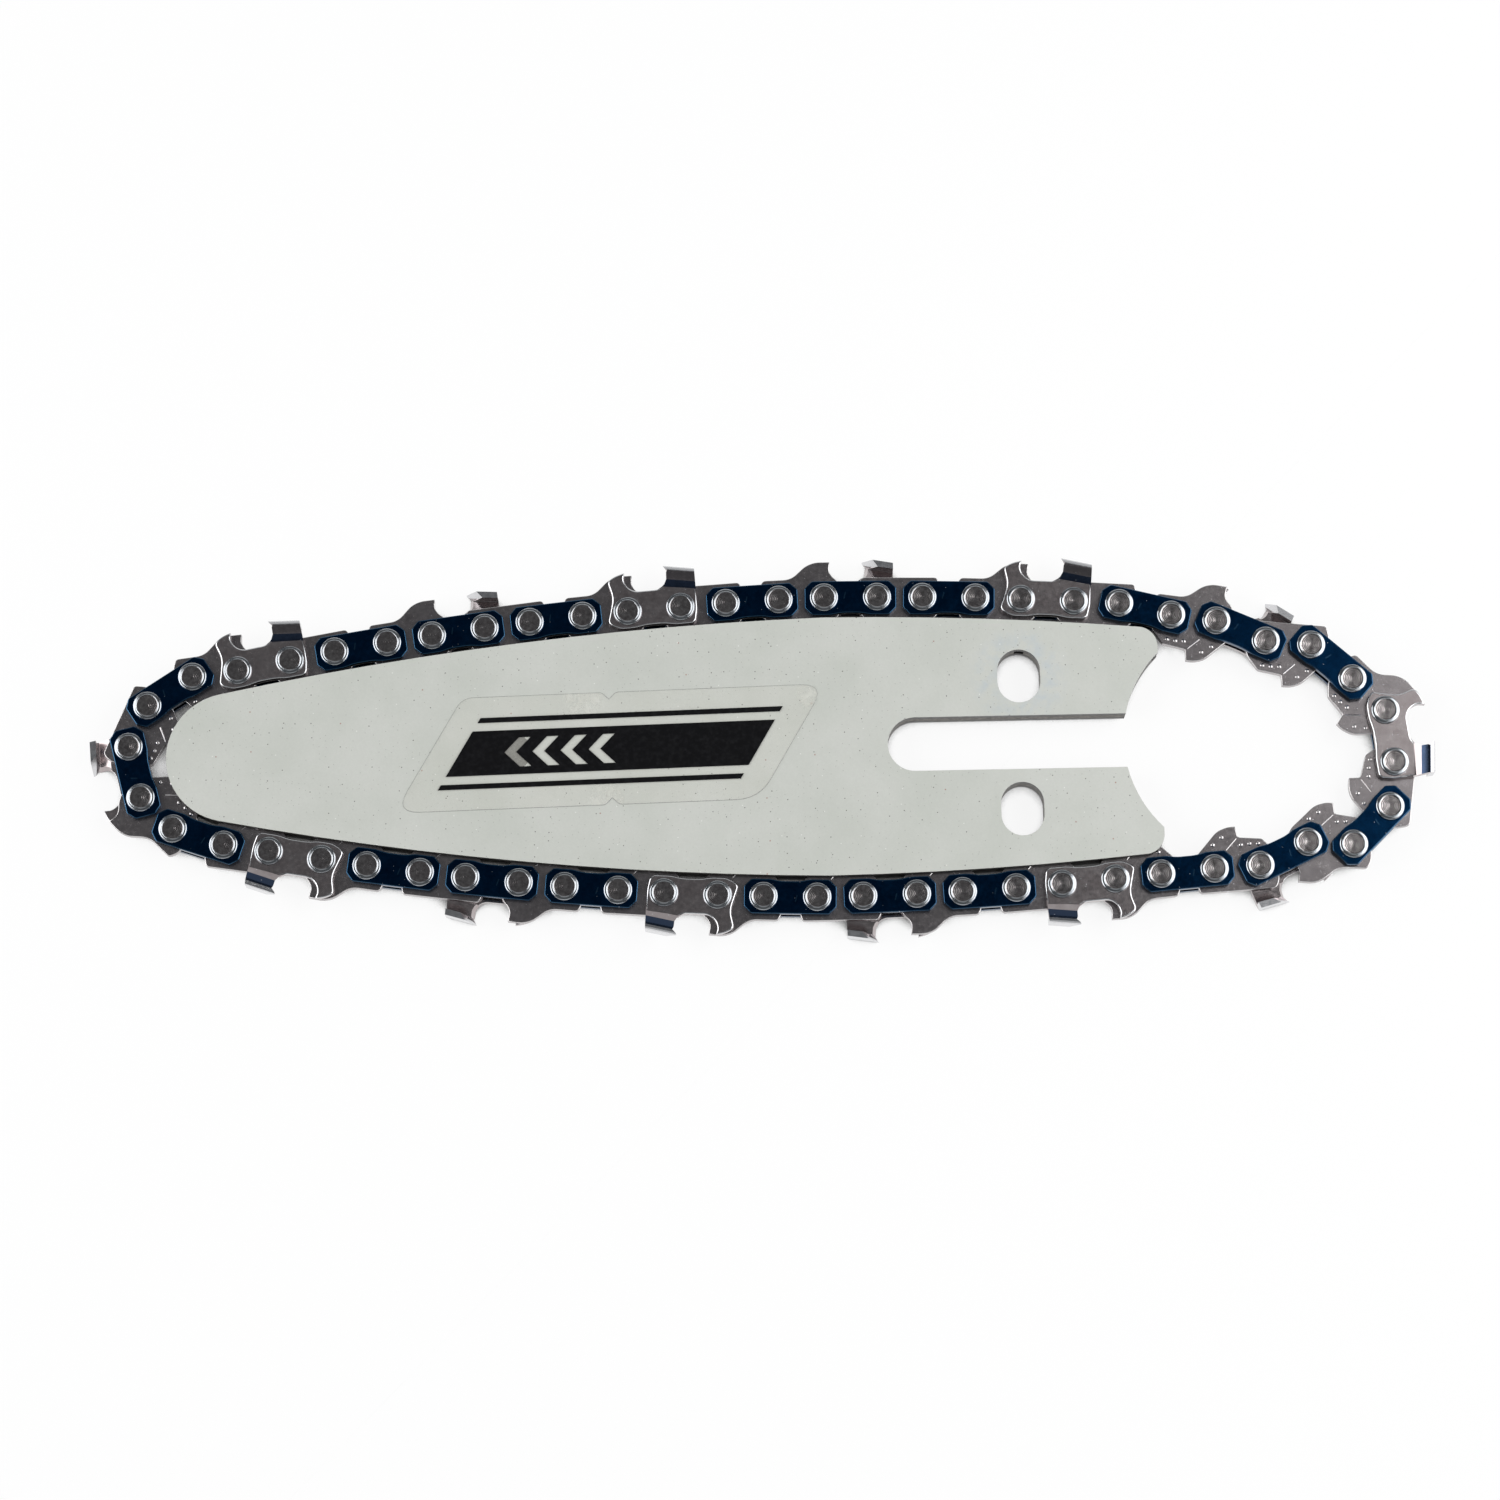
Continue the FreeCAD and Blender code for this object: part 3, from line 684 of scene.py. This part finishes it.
waist = [(WAIST_HALF, -STRAP_FOOT), (WAIST_FLAT, -WAIST), (-WAIST_FLAT, -WAIST), (-WAIST_HALF, -STRAP_FOOT)]
right_end = [(STRAP_END - CORNER, STRAP_TOP), (STRAP_END, STRAP_TOP - CORNER),
             (STRAP_END, CORNER - STRAP_FOOT), (STRAP_END - CORNER, -STRAP_FOOT)]
left_end = [(-x, y) for x, y in reversed(right_end)]
strap_points = left_end[-1:] + right_end + waist + left_end[:-1]
strap_radii = dict.fromkeys((0, 1, 2, 3, 4, 9, 10, 11), 0.22)
strap_radii.update({5: 0.25, 6: 0.6, 7: 0.6, 8: 0.25})
strap = stamped(rounded(strap_points, strap_radii), side_holes, SIDE_INNER, SIDE_OUTER, STRAP_RIMS)
print("strap faces:", len(strap.faces))

# %% Punch mark and placing of the straps
PUNCH_SIZE = (0.14, 0.90, 0.06)
PUNCH_TURN = -0.25

punch = bmesh.new()
bmesh.ops.create_cube(punch, size=1.0)
bmesh.ops.scale(punch, vec=PUNCH_SIZE, verts=punch.verts)
# The punch mark takes the rims' lighter colour: partly bare steel, partly a painted highlight.
mark_all(punch, 1.0)
add_copy(strap, punch, Matrix.Translation((-0.75, 0.25, SIDE_OUTER)) @ Matrix.Rotation(PUNCH_TURN, 4, "Z"))

strap_meshes = {}
for pair in range(1, link_count + 1):
    place = between(rivets[2 * pair - 1], rivets[2 * pair])
    run = "top_run" if rivets[2 * pair - 1].y + rivets[2 * pair].y > 0 else "bottom_run"
    for side, flip in (("upper", Matrix.Identity(4)), ("lower", FLIP)):
        if "cutter_%s_%02d" % (side, pair) in node_body:
            continue
        own = "tie_strap_%s_%02d" % (side, pair)
        node = own if own in node_body else "tie_straps_%s_%s" % (side, run)
        if node not in strap_meshes:
            strap_meshes[node] = bmesh.new()
        add_copy(strap_meshes[node], strap, place @ flip)
for node, mesh in strap_meshes.items():
    name = node.replace("tie_strap", "blued_strap")
    finish_piece(name, mesh, blued, node_body[node], [node])
print("strap pieces:", len(strap_meshes))

# %% [markdown]
# ## Drive links
#
# The middle links drop a tang into the bar's groove. The tang has a scraper hook in front, and the links
# ahead of a cutter carry a hump beside its depth gauge. A raised line and five dots are struck into each
# face. Bores are cut clear of the rivet's shank, a little wider where the free loop is left open.

# %% Drive link
LINK_HALF = 0.55
LINK_END = drive_span / 2 + 2.42
LINK_TOP = 2.88
LINK_CORNER = 0.50
LINK_RIMS = (0.10, 0.10)
# The drive links' rims take most of the rims' lighter colour: partly wear, partly a painted highlight.
LINK_SHINE = 0.7
BORE_PLAY = 0.05
OPEN_PLAY = 0.18
HUMP_TOP = 4.95

heel_side = [(-LINK_END, -1.70), (-3.58, -3.65), (-0.55, -4.02), (-0.32, -5.45), (0.67, -5.45),
             (2.08, -5.00), (3.40, -3.60), (LINK_END, -1.60), (LINK_END, 1.40)]
heel_radii = {0: 1.0, 1: 0.25, 2: 0.3, 4: 0.6, 5: 1.6, 6: 1.6, 7: 1.0, 8: 0.6}
half = drive_span / 2
hump = [(half + 1.75, 2.50), (half + 1.15, 3.05), (half + 0.84, 3.75), (half + 0.98, HUMP_TOP),
        (half - 0.90, HUMP_TOP + 0.07), (half - 2.15, HUMP_TOP - 0.35), (-1.20, LINK_TOP)]
hump_radii = {9: 0.3, 10: 0.5, 11: 0.5, 13: 1.2, 14: 0.9, 15: 1.0}
tail_side = [(LINK_CORNER - LINK_END, LINK_TOP), (-LINK_END, 1.90)]


def drive_link(humped, plays):
    if humped:
        points = heel_side + hump + tail_side
        radii = {**heel_radii, **hump_radii, 16: 0.4, 17: 0.6}
    else:
        points = heel_side + [(LINK_END - LINK_CORNER, LINK_TOP)] + tail_side
        radii = {**heel_radii, 9: 0.4, 10: 0.4, 11: 0.6}
    holes = [circle(side * half, 0, SHANK_RADIUS + play) for side, play in zip((-1, 1), plays)]
    return stamped(rounded(points, radii), holes, -LINK_HALF, LINK_HALF, LINK_RIMS, LINK_SHINE)


print("outline points:", len(heel_side + hump + tail_side))

# %% Struck marks
DOT_RADIUS = 0.30
RIDGE_LENGTH = 2.0
RIDGE_WIDTH = 0.13
RIDGE_TURN = -0.79
STRUCK_SHINE = 0.55

struck = bmesh.new()
lowered = Matrix.Scale(0.6, 4, (0, 0, 1))
for x, y in ((-3.05, -3.02), (-1.95, -3.08), (-0.85, -3.00), (1.55, -4.15), (2.75, -3.25)):
    bmesh.ops.create_uvsphere(struck, u_segments=14, v_segments=10, radius=DOT_RADIUS,
                              matrix=Matrix.Translation((x, y, LINK_HALF)) @ lowered)
ridge = Matrix.Translation((0.41, -3.18, LINK_HALF)) @ Matrix.Rotation(RIDGE_TURN, 4, "Z")
on_edge = Matrix.Rotation(math.pi / 4, 4, "Y")
ridge_size = Matrix.Diagonal((RIDGE_WIDTH, RIDGE_LENGTH, RIDGE_WIDTH, 1))
bmesh.ops.create_cube(struck, size=1.0, matrix=ridge @ lowered @ on_edge @ ridge_size)
# The struck marks take part of the rims' lighter colour, a painted highlight that lets them show.
mark_all(struck, STRUCK_SHINE)
print("struck marks:", len(struck.faces), "faces")

# %% Placing of the drive links
OPEN_RIVET = 28
for k in range(1, link_count + 1):
    node = "drive_link_%02d" % k
    ends = (2 * k, 2 * k % (2 * link_count) + 1)
    ahead = k % link_count + 1
    humped = any("cutter_%s_%02d" % (side, ahead) in node_body for side in ("upper", "lower"))
    plays = [OPEN_PLAY if n == OPEN_RIVET else BORE_PLAY for n in ends]
    mesh = drive_link(humped, plays)
    add_copy(mesh, struck, Matrix.Identity(4))
    add_copy(mesh, struck, FLIP)
    bmesh.ops.transform(mesh, matrix=between(rivets[ends[0]], rivets[ends[1]]), verts=mesh.verts)
    finish_piece("tanged_link_%02d" % k, mesh, tumbled, node_body[node], [node])
print("drive links:", link_count)

# %% [markdown]
# ## Cutters
#
# A cutter is stamped as a flat plate with a depth gauge and two gullets, then its rear half is bent outward
# and folded over into a top plate, and the front of the fold is ground back at thirty degrees by a round
# file. The plate is an outline; the fold is a strip of its wall's section, drawn along the chain and set
# back at its front by the file's circle. A boolean union joins them, as the real fold is one sheet.

# %% Cutter plate
GULLET_RADIUS = 1.85
GULLET_FLOOR = 2.57
REAR = 5.60
TIP_X = 1.40
FALL = 0.17
CUTTER_RIMS = (0.05, 0.20)

gullet_y = GULLET_FLOOR + GULLET_RADIUS
cutter_points = [(-5.625, -1.75), (-6.045, -1.20), (-5.145, 1.95), (-5.765, 4.20), (-4.595, 4.87),
                 (-3.445, 5.15)]
cutter_points += arc_points(-1.745, gullet_y, GULLET_RADIUS, 180, 270, 14)
cutter_points += arc_points(0.25, gullet_y, GULLET_RADIUS, 270, 312, 6)
rear_start = len(cutter_points)
cutter_points += [(REAR, 2.45), (REAR, -0.40), (5.30, -1.90), (4.85, -STRAP_FOOT)]
cutter_points += waist + [(-4.425, -STRAP_FOOT)]
cutter_radii = {0: 0.45, 1: 0.5, 2: 0.9, 3: 1.0, 4: 1.2}
for i, setback in enumerate((0.5, 0.5, 0.4, 0.5, 0.8, 0.8, 0.5, 0.5)):
    cutter_radii[rear_start + 1 + i] = setback
blank = stamped(rounded(cutter_points, cutter_radii), side_holes, SIDE_INNER, SIDE_OUTER, CUTTER_RIMS)
print("blank faces:", len(blank.faces))

# %% Cutter fold
LEG_START_Y = 2.90
LEG_START_Z = 1.56
LEG_SLOPE = 0.51
LEG_TOP_Z = 2.45
LEG_UNDERCUT = 0.35
TOP_START_Y = 4.6
TOP_INSIDE_Y = 5.0
TOP_INSIDE_CUT = 0.25
POINT_Z = 2.20
FILE_X = 0.12
FILE_Y = 4.32
RAKE = math.radians(30.0)

outer_wall = [(2.00, 1.54), (2.90, 1.56), (3.20, 1.70), (3.80, 2.01), (4.60, 2.42), (4.95, 2.44),
              (5.25, 2.36), (5.45, 2.21), (5.54, 2.02), (5.55, 1.20), (5.55, 0.40), (5.55, -0.35)]
inner_wall = [(2.00, 0.62), (3.00, 0.62), (3.30, 0.72), (3.85, 0.95), (4.45, 1.22), (4.60, 1.25),
              (4.70, 1.22), (4.74, 1.16), (4.75, 1.06), (4.75, 0.70), (4.75, 0.20), (4.75, -0.35)]


def chain_of(mesh, wall):
    dots = [mesh.verts.new((REAR, y - FALL * (REAR - TIP_X), z)) for y, z in wall]
    return [mesh.edges.new(pair) for pair in zip(dots, dots[1:])]


fold = bmesh.new()
wall_edges = chain_of(fold, outer_wall) + chain_of(fold, inner_wall)
bmesh.ops.bridge_loops(fold, edges=wall_edges)
made = bmesh.ops.extrude_face_region(fold, geom=fold.faces[:])
for vert in (v for v in made["geom"] if isinstance(v, bmesh.types.BMVert)):
    y, z = vert.co.y + FALL * (REAR - TIP_X), vert.co.z
    if y < TOP_START_Y:
        leg_z = min(LEG_START_Z + max(y - LEG_START_Y, 0) * LEG_SLOPE, LEG_TOP_Z)
        undercut = LEG_UNDERCUT * max(leg_z - z, 0)
    else:
        undercut = max(POINT_Z - z, 0) * math.tan(RAKE) + TOP_INSIDE_CUT * (y < TOP_INSIDE_Y)
    vert.co.x = FILE_X + math.sqrt(max(GULLET_RADIUS ** 2 - (y - FILE_Y) ** 2, 0)) + undercut
    vert.co.y = y - FALL * (vert.co.x - TIP_X)
bmesh.ops.recalc_face_normals(fold, faces=fold.faces)
print("fold faces:", len(fold.faces))


# %% Cutter, whole
def united(a, b):
    """The boolean union of two meshes."""
    objects = []
    for mesh in (a, b):
        data = bpy.data.meshes.new("part_of_union")
        mesh.to_mesh(data)
        mesh.free()
        objects.append(bpy.data.objects.new("part_of_union", data))
        bpy.context.collection.objects.link(objects[-1])
    union = objects[0].modifiers.new("union", "BOOLEAN")
    union.operation = "UNION"
    union.solver = "EXACT"
    union.object = objects[1]
    seen_whole = objects[0].evaluated_get(bpy.context.evaluated_depsgraph_get())
    result = bmesh.new()
    result.from_mesh(seen_whole.data)
    for one in objects:
        bpy.data.objects.remove(one)
    return result


cutter = united(blank, fold)
open_edges = sum(len(edge.link_faces) != 2 for edge in cutter.edges)
print("cutter faces:", len(cutter.faces), "open edges:", open_edges)

# %% [markdown]
# ### Painted reflections on the folds
#
# Thin bands of brown and navy are painted on the outer face of the fold: painted reflections of the room,
# which differ with how each cutter faces the light. In the picture the cutters of the upper run are blue at
# the root of the fold, and the others are blue further out. Each band is a mark on the faces, because it
# follows the bend; a pattern in space would cross it.

# %% Painted reflection bands and placing of the cutters
FOLD_X, FOLD_Y = 1.0, 2.85
ROOT_END_Y, BEND_END_Y, SHINY_Y = 3.85, 4.9, 5.0
FACING_OUT = 0.3
UPPER_RUN_Y = 8.0


def banded_copy(root, middle):
    """A copy of the cutter with bands of painted reflection on the root and the middle of its fold."""
    coloured = cutter.copy()
    painted_reflection = coloured.faces.layers.float.new("painted_reflection")
    mark = rim_mark(coloured)
    for face in coloured.faces:
        centre = face.calc_center_median()
        height = centre.y + FALL * (centre.x - TIP_X)
        if centre.x > FOLD_X and height > FOLD_Y:
            if face.normal.z > FACING_OUT:
                face[painted_reflection] = root if height < ROOT_END_Y else middle if height < BEND_END_Y else 0.0
            # The top of the fold takes the rims' lighter colour: partly ground bare steel, partly a painted
            # highlight.
            face[mark] = 1.0 if height > SHINY_Y else 0.0
    return coloured


blue_reflection_at_root = banded_copy(BLUE_REFLECTION, BROWN_REFLECTION)
blue_reflection_at_bend = banded_copy(0.0, BLUE_REFLECTION)
for node in sorted(n for n in node_body if n.startswith("cutter_")):
    pair = int(node[-2:])
    ends = rivets[2 * pair - 1], rivets[2 * pair]
    place = between(*ends)
    # The upper run and the rest get different painted reflection bands, as light falls on them differently.
    template = blue_reflection_at_root if (ends[0] + ends[1]).y / 2 > UPPER_RUN_Y else blue_reflection_at_bend
    mesh = bmesh.new()
    add_copy(mesh, template, place @ (FLIP if "lower" in node else Matrix.Identity(4)))
    name = node.replace("cutter", "cutting_link")
    finish_piece(name, mesh, chromed, node_body[node], [node])
print("cutters:", sum(name.startswith("cutter_") for name in node_body))

# %% [markdown]
# ## Label
#
# A clear glossy film in two lobes lies on the upper plate, with generic printing on it: a black slanted
# band with open chevrons toward the nose, between two thin rules. Both are thin stamped blanks; the film is
# a see-through plastic, so the enamel and the small hole below show through it.

# %% Film and ink
SMUDGE_ALPHA = 0.42
CLEAR_ALPHA = 0.18
EDGE_ALPHA = 0.6

film = Finish("clear_film", Roughness=0.10, Alpha=0.20, IOR=1.45, Coat_Weight=0.6, Coat_Roughness=0.06)
film_edge = film.add("ShaderNodeAttribute", attribute_name="rim").outputs["Fac"]
film_colour = film.mix(film.ramp(film.noise(3.0), 0.4, 0.7), rgb(236, 235, 226), rgb(248, 247, 240))
# The film's rim is painted grey and more opaque: a painted shade line where light bends at its edge.
film.colour(film.mix(film_edge, film_colour, rgb(150, 153, 150)))
smudges = film.ring(-56.0, 6.6, 0, 3.6)
for x, y in ((-53.2, -6.4), (-26.4, 6.6)):
    smudges = film.math("MAXIMUM", smudges, film.ring(x, y, 0, 3.2))
smudges = film.math("MULTIPLY", film.ramp(smudges, 0.25, 0.45), film.ramp(film.noise(0.9, 4.0), 0.35, 0.6))
sheet_alpha = film.ramp(smudges, 0.0, 1.0, CLEAR_ALPHA, SMUDGE_ALPHA)
film_alpha = film.math("MAXIMUM", sheet_alpha, film.math("MULTIPLY", film_edge, EDGE_ALPHA))
film.link(film_alpha, film.shader.inputs["Alpha"])
film.bump(film.noise(1.8, 3.0), 0.01)
ink = Finish("label_ink", Roughness=0.35, Specular_IOR_Level=0.15)
ink.colour(ink.mix(ink.ramp(ink.noise(0.5, 4.0), 0.45, 0.75), rgb(12, 12, 14), rgb(26, 26, 28)))
ink.bump(ink.noise(0.12, 3.0), 0.003)
print("label finishes:", film.material.name, ink.material.name)

# %% Label film
FILM_FRONT, FILM_REAR, FILM_HALF = -80.6, -24.6, 7.4
FILM_Y = 0.2
FILM_SLANT = 0.62
FILM_TURN = math.radians(1.2)
FILM_THICK = 0.08
FILM_SUNK = 0.01
FILM_RIMS = (0.0, 0.06)
NOTCH = 0.9
BAR_TOP = max(v.co.z for v in frame["nodes"]["bar_side_plate_upper"].data.vertices) / MM

film_middle = Matrix.Translation(((FILM_FRONT + FILM_REAR) / 2, FILM_Y, 0))
label_place = film_middle @ Matrix.Rotation(FILM_TURN, 4, "Z")
reach = (FILM_REAR - FILM_FRONT) / 2 - FILM_SLANT * FILM_HALF
lean = FILM_SLANT * FILM_HALF
film_points = [(lean - reach, FILM_HALF), (-NOTCH, FILM_HALF), (0, FILM_HALF - NOTCH), (NOTCH, FILM_HALF),
               (reach + lean, FILM_HALF), (reach - lean, -FILM_HALF), (NOTCH, -FILM_HALF),
               (0, NOTCH - FILM_HALF), (-NOTCH, -FILM_HALF), (-reach - lean, -FILM_HALF)]
film_radii = {0: 1.5, 1: 0.4, 3: 0.4, 4: 3.4, 5: 3.0, 6: 0.4, 8: 0.4, 9: 3.4}
film_outline = rounded(film_points, film_radii)
film_mesh = stamped(film_outline, [], BAR_TOP - FILM_SUNK, BAR_TOP + FILM_THICK, FILM_RIMS)
bmesh.ops.transform(film_mesh, matrix=label_place, verts=film_mesh.verts)
finish_piece("label_clear_film", film_mesh, film, "bar", ["label_film"], crease=20.0)
print("film length:", round(FILM_REAR - FILM_FRONT, 1))

# %% Label print
PRINT_REACH = reach - 4.0
PRINT_THICK = 0.04
BAND_HALF = 2.9
RULE_Y = 4.3
RULE_HALF = 0.33
ARM = BAND_HALF * 0.66
CHEVRON = 1.5
CHEVRON_STEP = 3.6
print_z = BAR_TOP + FILM_THICK
print_mesh = bmesh.new()


def slanted(y, half_height, x0, x1):
    """The corners of a band round height y, from x0 to x1, leaning as the film does."""
    low, high = FILM_SLANT * (y - half_height), FILM_SLANT * (y + half_height)
    return [(x0 + high, y + half_height), (x1 + high, y + half_height), (x1 + low, y - half_height),
            (x0 + low, y - half_height)]


def add_print(points, holes):
    add_copy(print_mesh, stamped(points, holes, print_z, print_z + PRINT_THICK), label_place)


def chevron(x):
    """The outline of an open chevron whose point is at x."""
    return [(x, 0), (x + ARM, ARM), (x + ARM + CHEVRON, ARM), (x + CHEVRON, 0), (x + ARM + CHEVRON, -ARM),
            (x + ARM, -ARM)]


chevrons = [chevron(2 * BAND_HALF - PRINT_REACH + CHEVRON_STEP * i) for i in range(4)]
add_print(slanted(0, BAND_HALF, -PRINT_REACH, PRINT_REACH), chevrons)
for side in (1, -1):
    add_print(slanted(side * RULE_Y, RULE_HALF, -PRINT_REACH, PRINT_REACH), [])
finish_piece("label_printing", print_mesh, ink, "bar", ["label_print"], crease=20.0)
print("label placed at height", round(BAR_TOP, 3))
